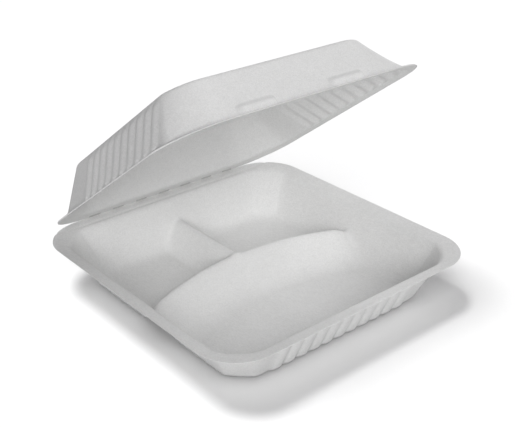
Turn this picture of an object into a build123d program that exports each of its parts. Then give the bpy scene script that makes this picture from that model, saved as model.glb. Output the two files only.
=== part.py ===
from build123d import *
import math
import os

os.makedirs("parts", exist_ok=True)

# Moulded-fibre clamshell food box with three compartments, lid held part open.
# Origin at the centre of the underside, X along the hinge, free edge at -Y.

# Sheet and rim
sheet = 0.8
box_width = 228.0
box_length = 229.0
rim_height = 37.0
rim_flare = 2.0
flange_width = 10.5
rim_radius = 32.0
crest_radius = 27.0
body_gap = 0.3
bend_steps = 3

# Base tray
foot_inset_side = 27.5
foot_inset_end = 25.5
foot_radius = 19.0
floor_round = 4.5
divider_height = 20.0
ridge_reach = 112.0
ridge_front_mid = -9.0
ridge_front_end = -45.0
ridge_crest_mid = 20.0
ridge_crest_end = -14.0
ridge_crest_band = 5.0
ridge_back_run = 10.0
spine_crest_band = 9.0
spine_side_run = 13.0

# Lid
open_angle = 36.3
lid_trim_side = 3.7
lid_trim_front = 1.0
lid_rim_radius = 41.0
lid_crest_radius = 38.0
lid_front_flange = 17.5
lid_depth = 35.0
lid_top_half_width = 83.0
lid_top_front_inset = 30.5
lid_top_back_inset = 23.0
lid_top_radius = 21.0
lid_top_round = 4.0

# Wall ribs
rib_base = 7.4
rib_tip = 3.0
rib_depth = 1.4
rib_clear = 5.0
front_rib_pitch = 11.3
front_rib_count = 11
side_rib_pitch = 11.9
side_rib_count = 10
side_rib_middle = -126.6
rib_root = 2.2
groove_root = 1.0

# Lock lugs on the lid
lug_middle = 44.5
lug_width = 28.0
lug_height = 7.5
lug_reach = 3.2

# Hinge crease
slit_count = 7
slit_pitch = 21.5
slit_length = 8.6
slit_half_width = 0.7

# Derived sizes of the base
crest_height = rim_height - rim_flare
crest_half_x = box_width / 2 - flange_width
crest_half_y = box_length / 2 - flange_width
foot_half_x = box_width / 2 - foot_inset_side
foot_half_y = box_length / 2 - foot_inset_end
base_rise = crest_height - sheet
wall_side = sheet * math.hypot(1, (crest_half_x - foot_half_x) / base_rise)
wall_end = sheet * math.hypot(1, (crest_half_y - foot_half_y) / base_rise)
side_lean = (crest_half_x + wall_side - foot_half_x) / base_rise
end_lean = (crest_half_y + wall_end - foot_half_y) / base_rise
floor_half_y = foot_half_y - wall_end
rim_half_y_back = box_length / 2 - body_gap / 2

# Derived sizes of the lid, measured on the lid from the crease
lid_crest_half_x = crest_half_x
lid_crest_back = -flange_width
lid_crest_front = -(box_length - lid_front_flange)
lid_rim_half_x = box_width / 2 - lid_trim_side
lid_rim_front = -(box_length - lid_trim_front)
lid_top_front = -(box_length - lid_top_front_inset)
lid_top_back = -lid_top_back_inset
lid_rise = lid_depth - sheet - rim_flare
lid_wall_side = sheet * math.hypot(1, (lid_crest_half_x - lid_top_half_width) / lid_rise)
lid_wall_end = sheet * math.hypot(1, (lid_crest_back - lid_top_back) / lid_rise)
lid_side_lean = (lid_crest_half_x + lid_wall_side - lid_top_half_width) / lid_rise
lid_front_lean = (lid_top_front - lid_crest_front + lid_wall_end) / lid_rise
lid_back_lean = (lid_crest_back + lid_wall_end - lid_top_back) / lid_rise
lid_start = body_gap / 2

# Plane of the lid rim, turned about the crease
lean = math.radians(open_angle)
crease_point = (0, box_length / 2, rim_height + body_gap / 2)
lid_plane = Plane(origin=crease_point, x_dir=(1, 0, 0), z_dir=(0, math.sin(lean), math.cos(lean)))
lid_x = Vector(1, 0, 0)
lid_z = Vector(0, math.sin(lean), math.cos(lean))


def centred(count, pitch):
    return [(i - (count - 1) / 2) * pitch for i in range(count)]


def under_shift(run):
    slope = divider_height / run
    return sheet * (math.hypot(1, slope) - 1) / slope


def rounded(half_x, low_y, high_y, radius):
    middle = (low_y + high_y) / 2
    with Locations((0, middle)):
        RectangleRounded(2 * half_x, high_y - low_y, radius)


def arc_band(front_mid, front_end, back_mid, back_end):
    with BuildLine() as band:
        front = ThreePointArc((-ridge_reach, front_end), (0, front_mid), (ridge_reach, front_end))
        back = ThreePointArc((-ridge_reach, back_end), (0, back_mid), (ridge_reach, back_end))
        Line(front @ 0, back @ 0)
        Line(front @ 1, back @ 1)
    make_face(band.edges())


def tooth(base_width, tip_width, depth, root):
    Polygon(
        (-base_width / 2, -root),
        (base_width / 2, -root),
        (base_width / 2, 0),
        (tip_width / 2, depth),
        (-tip_width / 2, depth),
        (-base_width / 2, 0),
        align=None,
    )


def bend_inset(radius, lean, height):
    reach = radius * math.tan(math.atan2(1, lean) / 2)
    return max(0, reach + lean * height - radius * math.sin(math.acos(1 - height / radius)))


def bend_heights(radius, lean):
    turn = math.atan2(1, lean)
    return [radius * (1 - math.cos(turn * step / bend_steps)) for step in range(bend_steps + 1)]


def base_bend_outline(height, radius, skin):
    half_x = foot_half_x - skin * wall_side + side_lean * height - bend_inset(radius, side_lean, height)
    half_y = foot_half_y - skin * wall_end + end_lean * height - bend_inset(radius, end_lean, height)
    corner = foot_radius + (crest_radius - foot_radius) * height / base_rise - skin * sheet
    rounded(half_x, -half_y, half_y, corner - bend_inset(radius, side_lean, height))


def lid_bend_outline(height, radius, skin):
    half_x = lid_top_half_width - skin * lid_wall_side + lid_side_lean * height
    front = lid_top_front + skin * lid_wall_end - lid_front_lean * height
    back = lid_top_back - skin * lid_wall_end + lid_back_lean * height
    corner = lid_top_radius + (lid_crest_radius - lid_top_radius) * height / lid_rise - skin * sheet
    inset = bend_inset(radius, lid_side_lean, height)
    front_inset = bend_inset(radius, lid_front_lean, height)
    back_inset = bend_inset(radius, lid_back_lean, height)
    rounded(half_x - inset, front + front_inset, back - back_inset, corner - inset)


def base_crest_outline():
    rounded(crest_half_x + wall_side, -crest_half_y - wall_end, crest_half_y + wall_end, crest_radius)


def base_rim_outline():
    rounded(box_width / 2, -box_length / 2, rim_half_y_back, rim_radius)


def lid_crest_outline():
    half_x = lid_crest_half_x + lid_wall_side
    rounded(half_x, lid_crest_front - lid_wall_end, lid_crest_back + lid_wall_end, lid_crest_radius)


def lid_rim_outline():
    rounded(lid_rim_half_x, lid_rim_front, -lid_start, lid_rim_radius)


# Outer form of the base, wall and flange
with BuildPart() as base_outer:
    for height in bend_heights(floor_round, side_lean):
        with BuildSketch(Plane.XY.offset(height)):
            base_bend_outline(height, floor_round, 0)
    with BuildSketch(Plane.XY.offset(crest_height - sheet)):
        base_crest_outline()
    loft(ruled=True)

with BuildPart() as base_flange:
    with BuildSketch(Plane.XY.offset(crest_height - sheet)):
        base_crest_outline()
    with BuildSketch(Plane.XY.offset(rim_height - sheet)):
        base_rim_outline()
    loft(ruled=True)
    with BuildSketch(Plane.XY.offset(rim_height - sheet)):
        base_rim_outline()
    extrude(amount=sheet)

# Inner form of the base, the hollow above the floor
with BuildPart() as base_inner:
    for height in bend_heights(floor_round - sheet, side_lean):
        with BuildSketch(Plane.XY.offset(sheet + height)):
            base_bend_outline(height, floor_round - sheet, 1)
    with BuildSketch(Plane.XY.offset(crest_height)):
        rounded(crest_half_x, -crest_half_y, crest_half_y, crest_radius - sheet)
    loft(ruled=True)

with BuildPart() as flange_inner:
    with BuildSketch(Plane.XY.offset(crest_height)):
        rounded(crest_half_x, -crest_half_y, crest_half_y, crest_radius - sheet)
    with BuildSketch(Plane.XY.offset(rim_height)):
        base_rim_outline()
    loft(ruled=True)

# Curved ridge across the tray and the spine behind it
with BuildPart() as ridge_top:
    with BuildSketch(Plane.XY):
        arc_band(
            ridge_front_mid,
            ridge_front_end,
            ridge_crest_mid + ridge_crest_band + ridge_back_run,
            ridge_crest_end + ridge_crest_band + ridge_back_run,
        )
    with BuildSketch(Plane.XY.offset(divider_height)):
        arc_band(
            ridge_crest_mid,
            ridge_crest_end,
            ridge_crest_mid + ridge_crest_band,
            ridge_crest_end + ridge_crest_band,
        )
    loft(ruled=True)

front_shift = under_shift(ridge_crest_mid - ridge_front_mid)
back_shift = under_shift(ridge_back_run)
spine_shift = under_shift(spine_side_run)
with BuildPart() as ridge_under:
    with BuildSketch(Plane.XY.offset(-sheet)):
        arc_band(
            ridge_front_mid + front_shift,
            ridge_front_end + front_shift,
            ridge_crest_mid + ridge_crest_band + ridge_back_run - back_shift,
            ridge_crest_end + ridge_crest_band + ridge_back_run - back_shift,
        )
    with BuildSketch(Plane.XY.offset(divider_height - sheet)):
        arc_band(
            ridge_crest_mid + front_shift,
            ridge_crest_end + front_shift,
            ridge_crest_mid + ridge_crest_band - back_shift,
            ridge_crest_end + ridge_crest_band - back_shift,
        )
    loft(ruled=True)

spine_length = ridge_reach - ridge_crest_mid
spine_middle = (ridge_crest_mid + ridge_reach) / 2
spine_foot_band = spine_crest_band + 2 * spine_side_run
with BuildPart() as spine_top:
    with BuildSketch(Plane.XY):
        with Locations((0, spine_middle)):
            Rectangle(spine_foot_band, spine_length)
    with BuildSketch(Plane.XY.offset(divider_height)):
        with Locations((0, spine_middle)):
            Rectangle(spine_crest_band, spine_length)
    loft(ruled=True)

with BuildPart() as spine_under:
    with BuildSketch(Plane.XY.offset(-sheet)):
        with Locations((0, spine_middle + sheet)):
            Rectangle(spine_foot_band - 2 * spine_shift, spine_length)
    with BuildSketch(Plane.XY.offset(divider_height - sheet)):
        with Locations((0, spine_middle + sheet)):
            Rectangle(spine_crest_band - 2 * spine_shift, spine_length)
    loft(ruled=True)

# Ribs pressed outward in the base's front wall
end_slant = math.hypot(1, end_lean)
base_rib_rise = crest_height - sheet - rib_clear
front_ribs = centred(front_rib_count, front_rib_pitch)
with BuildPart() as base_ribs:
    with BuildSketch(Plane.XY):
        with Locations(*[Location((x, -foot_half_y, 0), (0, 0, 180)) for x in front_ribs]):
            tooth(rib_base, rib_tip, rib_depth, floor_round)
    extrude(amount=base_rib_rise * end_slant, dir=(0, -end_lean, 1))

with BuildPart() as base_grooves:
    with BuildSketch(Plane.XY.offset(sheet)):
        with Locations(*[Location((x, -floor_half_y, 0), (0, 0, 180)) for x in front_ribs]):
            tooth(rib_base - sheet, rib_tip - sheet, rib_depth, groove_root)
    extrude(amount=(base_rib_rise - sheet) * end_slant, dir=(0, -end_lean, 1))

# Slits that weaken the crease
slits = centred(slit_count, slit_pitch)
with BuildPart() as base_slits:
    with BuildSketch(Plane.XY.offset(crest_height - sheet)):
        with Locations(*[(x, rim_half_y_back) for x in slits]):
            Rectangle(slit_length, 2 * slit_half_width)
    extrude(amount=rim_flare + 2 * sheet)

with BuildPart() as ridge_body:
    add(ridge_top.part)
    add(spine_top.part)
    add(base_outer.part, mode=Mode.INTERSECT)

with BuildPart() as base_tray:
    add(base_outer.part)
    add(base_flange.part)
    add(base_ribs.part)
    add(base_inner.part, mode=Mode.SUBTRACT)
    add(flange_inner.part, mode=Mode.SUBTRACT)
    add(base_grooves.part, mode=Mode.SUBTRACT)
    add(ridge_body.part)
    add(ridge_under.part, mode=Mode.SUBTRACT)
    add(spine_under.part, mode=Mode.SUBTRACT)
    add(base_slits.part, mode=Mode.SUBTRACT)

# Outer form of the lid
lid_rim_z = lid_start
lid_crest_z = lid_rim_z + rim_flare
lid_top_z = lid_rim_z + lid_depth

with BuildPart() as lid_outer:
    with BuildSketch(lid_plane.offset(lid_crest_z + sheet)):
        lid_crest_outline()
    for height in reversed(bend_heights(lid_top_round, lid_side_lean)):
        with BuildSketch(lid_plane.offset(lid_top_z - height)):
            lid_bend_outline(height, lid_top_round, 0)
    loft(ruled=True)

with BuildPart() as lid_flange:
    with BuildSketch(lid_plane.offset(lid_rim_z)):
        lid_rim_outline()
    extrude(amount=sheet)
    with BuildSketch(lid_plane.offset(lid_rim_z + sheet)):
        lid_rim_outline()
    with BuildSketch(lid_plane.offset(lid_crest_z + sheet)):
        lid_crest_outline()
    loft(ruled=True)

# Inner form of the lid
with BuildPart() as lid_inner:
    with BuildSketch(lid_plane.offset(lid_crest_z)):
        rounded(lid_crest_half_x, lid_crest_front, lid_crest_back, lid_crest_radius - sheet)
    for height in reversed(bend_heights(lid_top_round - sheet, lid_side_lean)):
        with BuildSketch(lid_plane.offset(lid_top_z - sheet - height)):
            lid_bend_outline(height, lid_top_round - sheet, 1)
    loft(ruled=True)

with BuildPart() as lid_flange_inner:
    with BuildSketch(lid_plane.offset(lid_rim_z)):
        lid_rim_outline()
    with BuildSketch(lid_plane.offset(lid_crest_z)):
        rounded(lid_crest_half_x, lid_crest_front, lid_crest_back, lid_crest_radius - sheet)
    loft(ruled=True)

# Ribs pressed outward in the lid's side walls
side_ribs = [side_rib_middle + y for y in centred(side_rib_count, side_rib_pitch)]
side_slant = math.hypot(1, lid_side_lean)
lid_rib_rise = lid_rise + sheet - lid_top_round
groove_start = 2.5 * sheet
lid_groove_rise = lid_rib_rise - groove_start - sheet
rib_x = lid_crest_half_x + lid_wall_side + sheet * lid_side_lean
groove_x = lid_crest_half_x - groove_start * lid_side_lean
with BuildPart() as lid_ribs:
    for way in (-1, 1):
        with BuildSketch(lid_plane.offset(lid_crest_z)):
            with Locations(*[Location((way * rib_x, y, 0), (0, 0, -90 * way)) for y in side_ribs]):
                tooth(rib_base, rib_tip, rib_depth, rib_root)
        extrude(amount=lid_rib_rise * side_slant, dir=lid_z - lid_x * (way * lid_side_lean))

with BuildPart() as lid_grooves:
    for way in (-1, 1):
        with BuildSketch(lid_plane.offset(lid_crest_z + groove_start)):
            with Locations(*[Location((way * groove_x, y, 0), (0, 0, -90 * way)) for y in side_ribs]):
                tooth(rib_base - sheet, rib_tip - sheet, rib_depth, groove_root)
        extrude(amount=lid_groove_rise * side_slant, dir=lid_z - lid_x * (way * lid_side_lean))

# Lock lugs at the foot of the lid's free-edge wall
lug_root = lid_wall_end / 2
lug_foot_y = lid_crest_front - lid_wall_end - lug_reach / 2 + lug_root / 2
lug_head_y = lid_crest_front - lid_wall_end + lid_front_lean * lug_height - lug_reach / 4 + lug_root / 2
lug_head_width = lug_width - 4 * sheet
with BuildPart() as lid_lugs:
    for side in (-lug_middle, lug_middle):
        with BuildSketch(lid_plane.offset(lid_crest_z)):
            with Locations((side, lug_foot_y)):
                Rectangle(lug_width, lug_reach + lug_root)
        with BuildSketch(lid_plane.offset(lid_crest_z + sheet + lug_height)):
            with Locations((side, lug_head_y)):
                Rectangle(lug_head_width, lug_reach / 2 + lug_root)
        loft(ruled=True)

with BuildPart() as lug_hollows:
    for side in (-lug_middle, lug_middle):
        with BuildSketch(lid_plane.offset(lid_crest_z - sheet)):
            with Locations((side, lug_foot_y + lid_wall_end)):
                Rectangle(lug_width - 2 * sheet, lug_reach + lug_root)
        with BuildSketch(lid_plane.offset(lid_crest_z + lug_height)):
            with Locations((side, lug_head_y + lid_wall_end)):
                Rectangle(lug_head_width - 2 * sheet, lug_reach / 2 + lug_root)
        loft(ruled=True)

with BuildPart() as lid_slits:
    with BuildSketch(lid_plane.offset(lid_rim_z - sheet)):
        with Locations(*[(x, -lid_start) for x in slits]):
            Rectangle(slit_length, 2 * slit_half_width)
    extrude(amount=rim_flare + 3 * sheet)

with BuildPart() as lid:
    add(lid_outer.part)
    add(lid_flange.part)
    add(lid_ribs.part)
    add(lid_lugs.part)
    add(lid_inner.part, mode=Mode.SUBTRACT)
    add(lid_flange_inner.part, mode=Mode.SUBTRACT)
    add(lid_grooves.part, mode=Mode.SUBTRACT)
    add(lug_hollows.part, mode=Mode.SUBTRACT)
    add(lid_slits.part, mode=Mode.SUBTRACT)

base_tray.part.label = "base_tray"
export_step(base_tray.part, "parts/base_tray.step")

lid.part.label = "lid"
export_step(lid.part, "parts/lid.step")
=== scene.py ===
import math

import bpy
from mathutils import Matrix, Vector


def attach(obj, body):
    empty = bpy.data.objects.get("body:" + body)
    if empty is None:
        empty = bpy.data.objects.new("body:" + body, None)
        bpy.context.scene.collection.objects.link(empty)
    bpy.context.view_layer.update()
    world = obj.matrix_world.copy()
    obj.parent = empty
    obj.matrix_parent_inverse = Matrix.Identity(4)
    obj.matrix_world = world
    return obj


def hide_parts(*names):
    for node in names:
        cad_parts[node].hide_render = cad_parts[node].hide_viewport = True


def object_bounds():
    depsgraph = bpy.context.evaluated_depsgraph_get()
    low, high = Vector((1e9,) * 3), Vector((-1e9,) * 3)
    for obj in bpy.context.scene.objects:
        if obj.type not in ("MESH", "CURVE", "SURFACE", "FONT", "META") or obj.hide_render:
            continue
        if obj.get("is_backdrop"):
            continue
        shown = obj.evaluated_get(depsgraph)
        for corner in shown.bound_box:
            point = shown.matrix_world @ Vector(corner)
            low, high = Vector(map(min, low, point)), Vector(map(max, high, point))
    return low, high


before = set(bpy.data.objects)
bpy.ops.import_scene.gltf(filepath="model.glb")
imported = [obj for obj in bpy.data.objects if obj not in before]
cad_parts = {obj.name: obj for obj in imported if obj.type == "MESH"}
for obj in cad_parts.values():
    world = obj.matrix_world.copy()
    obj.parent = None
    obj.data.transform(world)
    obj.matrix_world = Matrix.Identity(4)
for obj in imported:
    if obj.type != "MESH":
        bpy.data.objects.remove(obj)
cad_low, cad_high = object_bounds()

# Sizes of the moulded sheet, in metres
MM = 0.001
SHEET = 0.8 * MM
EDGE_SHARE = 0.3
HALF_WIDTH = 114 * MM
HALF_LENGTH = 114.5 * MM
RIM_HEIGHT = 37 * MM
FLARE = 2 * MM
FLANGE = 10.5 * MM
GAP = 0.3 * MM
OPEN_ANGLE = math.radians(36.3)
CREASE_Y = HALF_LENGTH
CREASE_Z = RIM_HEIGHT + GAP / 2

# Mesh steps around the outline: along each straight side, around each corner
SIDE_STEPS = 104
CORNER_STEPS = 34
AROUND = 4 * (SIDE_STEPS + CORNER_STEPS)
MERGE_REACH = 0.01 * MM

# Angle on each side of a corner's middle that can be flattened
FACET_REACH = math.radians(29)
SMOOTH_ANGLE = math.radians(50)


# Curves and blends


def mix(a, b, t):
    return tuple(p + (q - p) * t for p, q in zip(a, b))


def smooth_step(low, high, value):
    """0 at low and 1 at high, with soft ends; low may be the larger one."""
    t = min(1.0, max(0.0, (value - low) / (high - low)))
    return t * t * (3 - 2 * t)


def soft_max(a, b, reach):
    h = max(reach - abs(a - b), 0.0) / reach
    return max(a, b) + h * h * reach / 4


def soft_min(a, b, reach):
    return -soft_max(-a, -b, reach)


def profile(stations, bends, steps):
    """Rings of a drafted form, (half x, half y, middle y, corner radius, z, facet,
    squash) at each station. Each inner one has a bend: the shares of the wall before
    it and of the wall after it that it takes, and its number of rings."""
    rings = [stations[0]]
    for i in range(1, len(stations)):
        before, here = stations[i - 1], stations[i]
        start = bends[i - 1][1] if i > 1 else 0.0
        stop = 1 - bends[i][0] if i < len(stations) - 1 else 1.0
        for k in range(1, steps[i - 1] + 1):
            rings.append(mix(before, here, start + (stop - start) * k / steps[i - 1]))
        if i < len(stations) - 1:
            enter, leave = rings[-1], mix(here, stations[i + 1], bends[i][1])
            turns = bends[i][2]
            for k in range(1, turns + 1):
                t = k / turns
                rings.append(mix(mix(enter, here, t), mix(here, leave, t), t))
    return rings


def outline_point(ring, step):
    """Point number step of a rounded rectangle, counted from the left of the free edge.
    Facet is how far the middle of each corner is flattened, 0 round and 1 straight, and
    squash is how much shorter the free edge's corners are along the sides."""
    half_x, half_y, middle, radius, _, facet, squash = ring
    radius = min(radius, half_x, half_y)
    side, k = divmod(step, SIDE_STEPS + CORNER_STEPS)
    flat_x, flat_back = half_x - radius, half_y - radius
    flat_front = half_y - radius * squash
    if k < SIDE_STEPS:
        t = k / SIDE_STEPS
        across, along = flat_x * (2 * t - 1), (flat_front + flat_back) * t
        x, y = (
            (across, -half_y),
            (half_x, along - flat_front),
            (-across, half_y),
            (-half_x, flat_back - along),
        )[side]
    else:
        start = math.radians(90 * (side - 1))
        turn = math.radians(90) * (k - SIDE_STEPS) / CORNER_STEPS
        off_middle = turn - math.radians(45)
        if abs(off_middle) < FACET_REACH:
            radius *= 1 - facet + facet * math.cos(FACET_REACH) / math.cos(off_middle)
        corner_x = flat_x if side in (0, 1) else -flat_x
        x, y = corner_x + radius * math.cos(start + turn), radius * math.sin(start + turn)
        y = y * squash - flat_front if side in (0, 3) else y + flat_back
    return x, middle + y


def rib_wave(along, pitch, count):
    """Row of rounded ribs, 1 on each crest and 0 between ribs and past the last."""
    reach = count * pitch / 2
    if abs(along) > reach:
        return 0.0
    phase = (along + reach) / pitch
    return 0.5 - 0.5 * math.cos(2 * math.pi * phase)


def moulded_sheet(name, rings, place, hollow_below):
    """A closed sheet from a grid whose columns run around the outline and whose rows
    follow the rings, moved by place(x, y, z, row) and thickened away from the hollow."""
    bpy.ops.object.select_all(action="DESELECT")
    bpy.ops.mesh.primitive_grid_add(x_subdivisions=AROUND, y_subdivisions=len(rings) - 1, size=2)
    piece = bpy.context.object
    piece.name = name
    piece.data.name = name
    columns = AROUND + 1
    share = piece.vertex_groups.new(name="thickness_share")
    for index, vertex in enumerate(piece.data.vertices):
        row, column = divmod(index, columns)
        x, y = outline_point(rings[row], column % AROUND)
        vertex.co = place(x, y, rings[row][4], row)
        share.add([index], EDGE_SHARE if row == 0 else 1.0, "REPLACE")
    bpy.ops.object.mode_set(mode="EDIT")
    bpy.ops.mesh.select_all(action="SELECT")
    bpy.ops.mesh.remove_doubles(threshold=MERGE_REACH)
    if hollow_below:
        bpy.ops.mesh.flip_normals()
    bpy.ops.object.mode_set(mode="OBJECT")
    solid = piece.modifiers.new("thickness", "SOLIDIFY")
    solid.vertex_group = share.name
    solid.thickness = SHEET
    solid.offset = -1
    solid.use_even_offset = False
    bpy.ops.object.modifier_apply(modifier=solid.name)
    bpy.ops.object.shade_smooth_by_angle(angle=SMOOTH_ANGLE)
    return piece


# Tray
RIM_RADIUS = 32 * MM
CREST_RADIUS = 26.5 * MM
CREST_FACET = 0.3
FLOOR_INSET_X, FLOOR_INSET_Y = 28.3 * MM, 26.3 * MM
FLOOR_RADIUS = 18.5 * MM
FLOOR_FACET = 0.8

# Ribs in the tray's free-edge wall
FRONT_RIB_COUNT = 11
FRONT_RIB_PITCH = 11.3 * MM
FRONT_RIB_DEPTH = 1.8 * MM
FRONT_RIB_ZONE = 29 * MM
FRONT_RIB_FULL, FRONT_RIB_END = 22 * MM, 34 * MM

# Cross ridge and spine between the compartments, with the blends on their edges
DIVIDER_HEIGHT = 20 * MM
RIDGE_REACH = 112 * MM
RIDGE_CREST_MIDDLE, RIDGE_CREST_END = 20 * MM, -14 * MM
RIDGE_FOOT_MIDDLE, RIDGE_FOOT_END = -9 * MM, -45 * MM
RIDGE_CREST_WIDTH = 2 * MM
RIDGE_BACK_RUN = 13 * MM
RIDGE_CREST_BLEND, RIDGE_TOP_BLEND = 5 * MM, 3 * MM
RIDGE_DROP = 4 * MM
RIDGE_DROP_START, RIDGE_DROP_END = 82 * MM, 97 * MM
SPINE_FOOT_HALF = 17 * MM
SPINE_SIDE_RUN = 13 * MM
SPINE_BLEND = 9 * MM
RIDGE_TO_SPINE_BLEND = 4 * MM
DIVIDER_TO_WALL_BLEND = 7 * MM
DIVIDER_CLEAR = 3 * MM

# Crease edge, and the fold line pressed along the flange beside it
CREASE_REACH = 0.5 * MM
FOLD_FROM_EDGE = 6.5 * MM
FOLD_HALF = 1.4 * MM
FOLD_DEPTH = 0.6 * MM

tray_stations = [
    (HALF_WIDTH, HALF_LENGTH, 0, RIM_RADIUS, RIM_HEIGHT, 0, 1),
    (HALF_WIDTH - FLANGE, HALF_LENGTH - FLANGE, 0, CREST_RADIUS, RIM_HEIGHT - FLARE, CREST_FACET, 1),
    (HALF_WIDTH - FLOOR_INSET_X, HALF_LENGTH - FLOOR_INSET_Y, 0, FLOOR_RADIUS, SHEET, FLOOR_FACET, 1),
    (0, 0, 0, 0, SHEET, 0, 1),
]
tray_rings = profile(tray_stations, [None, (0.24, 0.07, 6), (0.16, 0.09, 8)], [9, 12, 48])


def ridge_line(x, middle, end):
    """Distance along the tray of a line that curves from middle at x = 0 towards end."""
    return middle - (middle - end) * (x / RIDGE_REACH) ** 2


def divider_height(x, y):
    """Height of the curved cross ridge and of the spine behind it."""
    crest = ridge_line(x, RIDGE_CREST_MIDDLE, RIDGE_CREST_END)
    foot = ridge_line(x, RIDGE_FOOT_MIDDLE, RIDGE_FOOT_END)
    front = DIVIDER_HEIGHT * (y - foot) / (crest - foot)
    back = DIVIDER_HEIGHT * (1 - (y - crest - RIDGE_CREST_WIDTH) / RIDGE_BACK_RUN)
    ridge = soft_min(soft_min(front, back, RIDGE_CREST_BLEND), DIVIDER_HEIGHT, RIDGE_TOP_BLEND)
    ridge -= RIDGE_DROP * smooth_step(RIDGE_DROP_START, RIDGE_DROP_END, abs(x))
    side = DIVIDER_HEIGHT * (SPINE_FOOT_HALF - abs(x)) / SPINE_SIDE_RUN
    spine = soft_min(side, DIVIDER_HEIGHT, SPINE_BLEND) if y >= crest else -DIVIDER_HEIGHT
    return soft_max(ridge, spine, RIDGE_TO_SPINE_BLEND)


def place_tray(x, y, z, row):
    if row == 0 and y > HALF_LENGTH - CREASE_REACH:
        return x, y, CREASE_Z
    z -= FOLD_DEPTH * smooth_step(FOLD_HALF, 0, abs(HALF_LENGTH - FOLD_FROM_EDGE - y))
    if z > SHEET and y < FRONT_RIB_ZONE - HALF_LENGTH:
        valley = 1 - rib_wave(x, FRONT_RIB_PITCH, FRONT_RIB_COUNT)
        y -= FRONT_RIB_DEPTH * (1 - valley**2) * smooth_step(FRONT_RIB_END, FRONT_RIB_FULL, z)
    height = divider_height(x, y)
    if height > -DIVIDER_HEIGHT and z < RIM_HEIGHT - DIVIDER_CLEAR:
        z = soft_max(z, height, DIVIDER_TO_WALL_BLEND)
    return x, y, z


tray = moulded_sheet("tray_sheet", tray_rings, place_tray, hollow_below=False)
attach(tray, "base_tray")
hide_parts("base_tray")

# Lid, measured closed and from the crease
LID_DEPTH = 35 * MM
LID_RIM_HALF, LID_CREST_HALF, LID_TOP_HALF = 109.2 * MM, 103 * MM, 82 * MM
LID_RIM_FRONT = 227.5 * MM
LID_CREST_BACK, LID_CREST_FRONT = 10.5 * MM, 211.5 * MM
LID_TOP_BACK, LID_TOP_FRONT = 25.4 * MM, 197.6 * MM
LID_RIM_RADIUS, LID_CREST_RADIUS, LID_TOP_RADIUS = 40.3 * MM, 38 * MM, 22 * MM
LID_CREST_FACET, LID_TOP_FACET = 0.5, 0.2
LID_CREST_SQUASH, LID_TOP_SQUASH = 0.35, 0.75

# Ribs in the lid's side walls, leaning by the slant
SIDE_RIB_COUNT = 10
SIDE_RIB_PITCH = 11.9 * MM
SIDE_RIB_MIDDLE = 129.4 * MM
SIDE_RIB_SLANT = 0.28
SIDE_RIB_DEPTH = 1.8 * MM
SIDE_RIB_FOOT_FADE = 1.5 * MM
SIDE_RIB_HEAD_START, SIDE_RIB_HEAD_END = 7 * MM, 2 * MM
SIDE_WALL_START = 76 * MM
TOP_CLEAR = 0.2 * MM

# Slits pressed along the crease
SLIT_COUNT = 7
SLIT_PITCH = 21.5 * MM
SLIT_HALF = 4.6 * MM
SLIT_DEPTH = 1.2 * MM
SLIT_END_IN, SLIT_END_OUT = 0.3 * MM, 0.7 * MM
SLIT_NEAR_START, SLIT_NEAR_FULL = 0.3 * MM, 0.9 * MM
SLIT_FAR_FULL, SLIT_FAR_END = 2.2 * MM, 3 * MM

# Lock lugs at the foot of the free-edge wall
LUG_MIDDLE = 38 * MM
LUG_HALF = 14 * MM
LUG_HEIGHT = 5.6 * MM
LUG_REACH = 2.8 * MM
LUG_END_IN, LUG_END_OUT = 1.2 * MM, 0.8 * MM
LUG_FOOT_START, LUG_FOOT_FULL = -0.6 * MM, 0.4 * MM
LUG_HEAD_FADE = 2.2 * MM
LUG_ZONE = 200 * MM


def lid_ring(half_x, back_y, front_y, radius, z, facet, squash):
    """Ring from its half width, its distances from the crease and its corner radius."""
    return half_x, (front_y - back_y) / 2, -(front_y + back_y) / 2, radius, z, facet, squash


lid_top_z = LID_DEPTH - SHEET
lid_top_ring = lid_ring(
    LID_TOP_HALF, LID_TOP_BACK, LID_TOP_FRONT, LID_TOP_RADIUS, lid_top_z, LID_TOP_FACET, LID_TOP_SQUASH
)
lid_crest_ring = lid_ring(
    LID_CREST_HALF,
    LID_CREST_BACK,
    LID_CREST_FRONT,
    LID_CREST_RADIUS,
    FLARE,
    LID_CREST_FACET,
    LID_CREST_SQUASH,
)
lid_stations = [
    lid_ring(LID_RIM_HALF, 0, LID_RIM_FRONT, LID_RIM_RADIUS, 0, 0, 1),
    lid_crest_ring,
    lid_top_ring,
    (0, 0, lid_top_ring[2], 0, lid_top_z, 0, 1),
]
lid_rings = profile(lid_stations, [None, (0.22, 0.07, 6), (0.07, 0.024, 7)], [16, 20, 20])


def from_crease(x, y, z):
    """A point of the closed lid, measured from the crease, with the lid turned open."""
    turned_y = CREASE_Y + y * math.cos(OPEN_ANGLE) + z * math.sin(OPEN_ANGLE)
    return x, turned_y, CREASE_Z - y * math.sin(OPEN_ANGLE) + z * math.cos(OPEN_ANGLE)


def slit_dent(x, y):
    """Depth of the pressed slits along the crease."""
    nearest = round(x / SLIT_PITCH)
    if abs(nearest) > SLIT_COUNT // 2:
        return 0.0
    off_middle = abs(x - nearest * SLIT_PITCH)
    across = smooth_step(SLIT_HALF + SLIT_END_OUT, SLIT_HALF - SLIT_END_IN, off_middle)
    near = smooth_step(SLIT_NEAR_START, SLIT_NEAR_FULL, -y)
    far = smooth_step(SLIT_FAR_END, SLIT_FAR_FULL, -y)
    return SLIT_DEPTH * across * near * far


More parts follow.
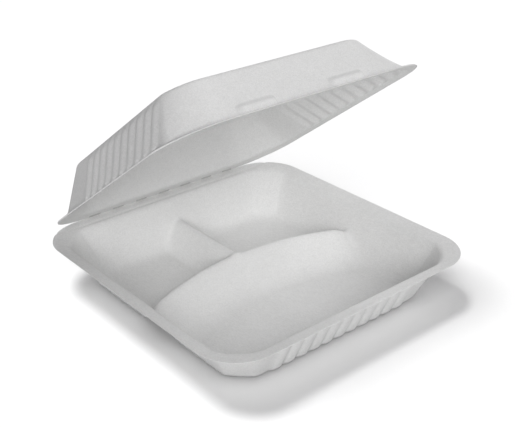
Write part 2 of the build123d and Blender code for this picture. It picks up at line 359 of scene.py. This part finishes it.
def side_rib(y, z):
    """How far the ribs stand out of the lid's side walls."""
    foot = smooth_step(FLARE, FLARE + SIDE_RIB_FOOT_FADE, z)
    head = smooth_step(LID_DEPTH - SIDE_RIB_HEAD_END, LID_DEPTH - SIDE_RIB_HEAD_START, z)
    along = y + SIDE_RIB_MIDDLE - SIDE_RIB_SLANT * (z - LID_DEPTH / 2)
    return SIDE_RIB_DEPTH * rib_wave(along, SIDE_RIB_PITCH, SIDE_RIB_COUNT) * foot * head


def lock_lug(x, y, z):
    """How far the lock lugs stand out. Their face is upright on the leaning wall, so
    they grow from the foot to the head."""
    if y > -LUG_ZONE:
        return 0.0
    off_middle = abs(abs(x) - LUG_MIDDLE)
    across = smooth_step(LUG_HALF + LUG_END_OUT, LUG_HALF - LUG_END_IN, off_middle)
    up = z - FLARE
    face = min(1.0, max(0.0, up / LUG_HEIGHT))
    foot = smooth_step(LUG_FOOT_START, LUG_FOOT_FULL, up)
    head = smooth_step(LUG_HEAD_FADE, 0, up - LUG_HEIGHT)
    return LUG_REACH * across * face * foot * head


def place_lid(x, y, z, row):
    z += slit_dent(x, y)
    if FLARE < z < lid_top_z - TOP_CLEAR and abs(x) > SIDE_WALL_START:
        x += math.copysign(side_rib(y, z), x)
    return from_crease(x, y - lock_lug(x, y, z), z)


lid = moulded_sheet("lid_sheet", lid_rings, place_lid, hollow_below=True)
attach(lid, "lid")
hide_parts("lid")

# Materials


class Socket:
    """A shader socket, so that maths on it can be written as sums."""

    def __init__(self, tree, out):
        self.tree, self.out = tree, out

    def node(self, kind, settings=None, **inputs):
        """A new node, its settings first and then its sockets: a value or a link each.
        An underscore stands for a space, and i6 for socket number 6."""
        made = self.tree.nodes.new(kind)
        for key, value in (settings or {}).items():
            setattr(made, key, value)
        for key, value in inputs.items():
            name = key.replace("_", " ") if not key[1:].isdigit() else int(key[1:])
            socket = made.inputs[name]
            if isinstance(value, Socket):
                self.tree.links.new(value.out, socket)
            else:
                socket.default_value = value
        return made

    def maths(self, operation, first, second):
        made = self.node("ShaderNodeMath", {"operation": operation}, i0=first, i1=second)
        return Socket(self.tree, made.outputs[0])

    def __add__(self, other):
        return self.maths("ADD", self, other)

    def __radd__(self, other):
        return self.maths("ADD", other, self)

    def __sub__(self, other):
        return self.maths("SUBTRACT", self, other)

    def __rsub__(self, other):
        return self.maths("SUBTRACT", other, self)

    def __mul__(self, other):
        return self.maths("MULTIPLY", self, other)

    def __rmul__(self, other):
        return self.maths("MULTIPLY", other, self)

    def __abs__(self):
        return self.maths("ABSOLUTE", self, 0.0)

    def __round__(self):
        return self.maths("ROUND", self, 0.0)

    def blend(self, low, high):
        """Colour low where this socket is 0 and high where it is 1."""
        made = self.node("ShaderNodeMix", {"data_type": "RGBA"}, Factor=self, i6=low, i7=high)
        return Socket(self.tree, made.outputs[2])

    def ranged(self, low, high, to_low, to_high):
        """This socket's range low to high spread over to_low to to_high, held at its ends."""
        ends = {"From_Min": low, "From_Max": high, "To_Min": to_low, "To_Max": to_high}
        made = self.node("ShaderNodeMapRange", None, Value=self, **ends)
        return Socket(self.tree, made.outputs["Result"])


def new_paint(name):
    """A new material with its shader and a socket to start its nodes from."""
    paint = bpy.data.materials.new(name)
    paint.use_nodes = True
    return paint, paint.node_tree.nodes["Principled BSDF"], Socket(paint.node_tree, None)


LIGHT_FIBRE = (0.88, 0.88, 0.875, 1)
DARK_FIBRE = (0.74, 0.74, 0.735, 1)
FLECK_COLOUR = (0.55, 0.52, 0.47, 1)
FLECK_SHARE = 0.12
# Colour of the painted shade in the slits along the crease
PAINTED_SLIT_SHADE = (0.3, 0.29, 0.28, 1)
BUMP_HEIGHT = 0.5 * MM

# The shaded strip of each slit: its soft end, its reach from the crease and its height
SLIT_SHADE_END = 0.8 * MM
SLIT_SHADE_FULL, SLIT_SHADE_REACH = 1.2 * MM, 1.6 * MM
SLIT_SHADE_LOW, SLIT_SHADE_HIGH = 2.4 * MM, 2.8 * MM


def fibre_material(name, slit_shade):
    """Matte pressed plant fibre: cloudy tone, fine mottling, a few darker flecks and,
    by the share slit_shade, painted shade darkening the bottoms of the slits."""
    material, shader, start = new_paint(name)
    tree = start.tree
    where = Socket(tree, start.node("ShaderNodeTexCoord").outputs["Object"])
    squeeze = {"Rotation": (0.3, 0.5, 0.8), "Scale": (1.0, 0.18, 1.0)}
    fibre_where = Socket(tree, start.node("ShaderNodeMapping", None, Vector=where, **squeeze).outputs[0])

    def noise(place, scale, detail, roughness):
        grains = {"Scale": scale, "Detail": detail, "Roughness": roughness}
        return Socket(tree, start.node("ShaderNodeTexNoise", None, Vector=place, **grains).outputs["Fac"])

    cloud = noise(where, 22.0, 3.0, 0.55)
    mottle = noise(where, 260.0, 4.0, 0.6)
    grain = noise(where, 950.0, 4.0, 0.75)
    strand = noise(fibre_where, 1700.0, 2.0, 0.5)
    cells = start.node("ShaderNodeTexVoronoi", None, Vector=fibre_where, Scale=330.0, Randomness=1.0)
    fleck = Socket(tree, cells.outputs["Distance"]).ranged(0.04, 0.11, 1.0, 0.0)
    tone = 0.16 * cloud + 0.14 * mottle + 0.45 * grain + 0.25 * strand
    tint = tone.ranged(0.38, 0.62, 0.0, 1.0).blend(DARK_FIBRE, LIGHT_FIBRE)
    flecked = (fleck * FLECK_SHARE).blend(tint, FLECK_COLOUR)

    # Painted shade: dark dashes in the bottoms of the pressed slits along the crease, where shadow would
    # fall
    parts = start.node("ShaderNodeSeparateXYZ", None, Vector=where).outputs
    across, along, up = (Socket(tree, part) for part in parts)
    slits = across * (1 / SLIT_PITCH)
    off_slit = abs(slits - round(slits)) * SLIT_PITCH
    in_slit = off_slit.ranged(SLIT_HALF, SLIT_HALF + SLIT_SHADE_END, 1.0, 0.0)
    row_half = SLIT_COUNT / 2 * SLIT_PITCH
    in_row = abs(across).ranged(row_half - SLIT_PITCH / 10, row_half, 1.0, 0.0)
    near_crease = along.ranged(CREASE_Y - SLIT_SHADE_REACH, CREASE_Y - SLIT_SHADE_FULL, 0.0, slit_shade)
    low_down = up.ranged(CREASE_Z + SLIT_SHADE_LOW, CREASE_Z + SLIT_SHADE_HIGH, 1.0, 0.0)
    with_painted_slit_shade = (in_slit * in_row * (near_crease * low_down)).blend(flecked, PAINTED_SLIT_SHADE)

    tree.links.new(with_painted_slit_shade.out, shader.inputs["Base Color"])
    tree.links.new(mottle.ranged(0.3, 0.7, 0.82, 0.95).out, shader.inputs["Roughness"])
    shader.inputs["Specular IOR Level"].default_value = 0.25
    relief = 0.2 * mottle + 0.5 * grain + 0.3 * strand
    bump = start.node("ShaderNodeBump", None, Strength=0.6, Distance=BUMP_HEIGHT, Height=relief)
    tree.links.new(bump.outputs[0], shader.inputs["Normal"])
    return material


tray.data.materials.clear()
tray.data.materials.append(fibre_material("moulded_fibre_tray", slit_shade=0.0))
lid.data.materials.clear()
lid.data.materials.append(fibre_material("moulded_fibre_lid", slit_shade=0.5))

# Floor and surroundings
FLOOR_SIZE = 30
FLOOR_DROP = 0.2 * MM
FLOOR_WHITE = (1, 1, 1, 1)
FLOOR_GREY = (0.6, 0.6, 0.6, 1)


def studio_floor():
    """A floor that is white to the camera and greyer in what it throws back on the box."""
    bpy.ops.object.select_all(action="DESELECT")
    bpy.ops.mesh.primitive_plane_add(size=FLOOR_SIZE, location=(0, 0, -FLOOR_DROP))
    ground = bpy.context.object
    ground.name = "studio_floor"
    paint, shader, start = new_paint("studio_floor")
    shader.inputs["Roughness"].default_value = 1.0
    shader.inputs["Specular IOR Level"].default_value = 0.0
    seen = Socket(start.tree, start.node("ShaderNodeLightPath").outputs["Is Camera Ray"])
    start.tree.links.new(seen.blend(FLOOR_GREY, FLOOR_WHITE).out, shader.inputs["Base Color"])
    ground.data.materials.append(paint)
    ground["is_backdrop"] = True
    return ground


ground = studio_floor()
world = bpy.context.scene.world or bpy.data.worlds.new("studio")
bpy.context.scene.world = world
world.use_nodes = True
world.node_tree.nodes["Background"].inputs["Color"].default_value = (1, 0.985, 1.015, 1)
world.node_tree.nodes["Background"].inputs["Strength"].default_value = 0.15

# Lights
floor_alone = bpy.data.collections.new("lit_floor")
floor_alone.objects.link(ground)
box_alone = bpy.data.collections.new("lit_box")
box_alone.objects.link(tray)
box_alone.objects.link(lid)


def soft_sun(name, azimuth, elevation, spread, strength, lit):
    """A wide distant light from the given side, lighting the floor or the box alone.
    Azimuth 0 is the free edge's side and 90 is the right."""
    data = bpy.data.lights.new(name, "SUN")
    data.angle = math.radians(spread)
    data.energy = strength
    lamp = bpy.data.objects.new(name, data)
    bpy.context.scene.collection.objects.link(lamp)
    turn, rise = math.radians(azimuth), math.radians(elevation)
    source = Vector((math.sin(turn) * math.cos(rise), -math.cos(turn) * math.cos(rise), math.sin(rise)))
    lamp.rotation_euler = source.to_track_quat("Z", "Y").to_euler()
    lamp.light_linking.receiver_collection = lit
    lamp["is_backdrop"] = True


soft_sun("floor_back", -150, 70, 22, 2.0, floor_alone)
soft_sun("floor_front", -40, 40, 40, 1.42, floor_alone)
soft_sun("box_camera", -40, 26, 28, 1.05, box_alone)
soft_sun("box_camera_low", -40, 16, 50, 0.66, box_alone)
soft_sun("box_right", 80, 35, 60, 1.0, box_alone)
soft_sun("box_front", 10, 50, 60, 0.4, box_alone)
soft_sun("box_behind", 135, 8, 30, 1.2, box_alone)

# Camera, as the photograph was taken
FOCAL_PIXELS = 960.0
IMAGE_WIDTH = 515.0
SENSOR_WIDTH = 36
CAMERA_AZIMUTH = math.radians(-39.6)
CAMERA_ELEVATION = math.radians(26.64)
CAMERA_ROLL = math.radians(-0.51)
CAMERA_AXIS_POINT = Vector((0.08365, 0.09655, -0.003))
CAMERA_DISTANCE = 0.83016

back = Vector(
    (
        math.sin(CAMERA_AZIMUTH) * math.cos(CAMERA_ELEVATION),
        -math.cos(CAMERA_AZIMUTH) * math.cos(CAMERA_ELEVATION),
        math.sin(CAMERA_ELEVATION),
    )
)
level = Vector((math.cos(CAMERA_AZIMUTH), math.sin(CAMERA_AZIMUTH), 0))
upward = back.cross(level)
right = level * math.cos(CAMERA_ROLL) + upward * math.sin(CAMERA_ROLL)
top = upward * math.cos(CAMERA_ROLL) - level * math.sin(CAMERA_ROLL)
camera_data = bpy.data.cameras.new("photo_camera")
camera_data.sensor_width = SENSOR_WIDTH
camera_data.lens = FOCAL_PIXELS / IMAGE_WIDTH * SENSOR_WIDTH
camera = bpy.data.objects.new("photo_camera", camera_data)
bpy.context.scene.collection.objects.link(camera)
camera.matrix_world = Matrix.Translation(CAMERA_AXIS_POINT + back * CAMERA_DISTANCE) @ Matrix(
    (
        (right.x, top.x, back.x, 0),
        (right.y, top.y, back.y, 0),
        (right.z, top.z, back.z, 0),
        (0, 0, 0, 1),
    )
)
bpy.context.scene.camera = camera
bpy.context.scene.view_settings.view_transform = "Standard"

low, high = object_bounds()
{"cad": [list(cad_low), list(cad_high)], "visual": [list(low), list(high)]}
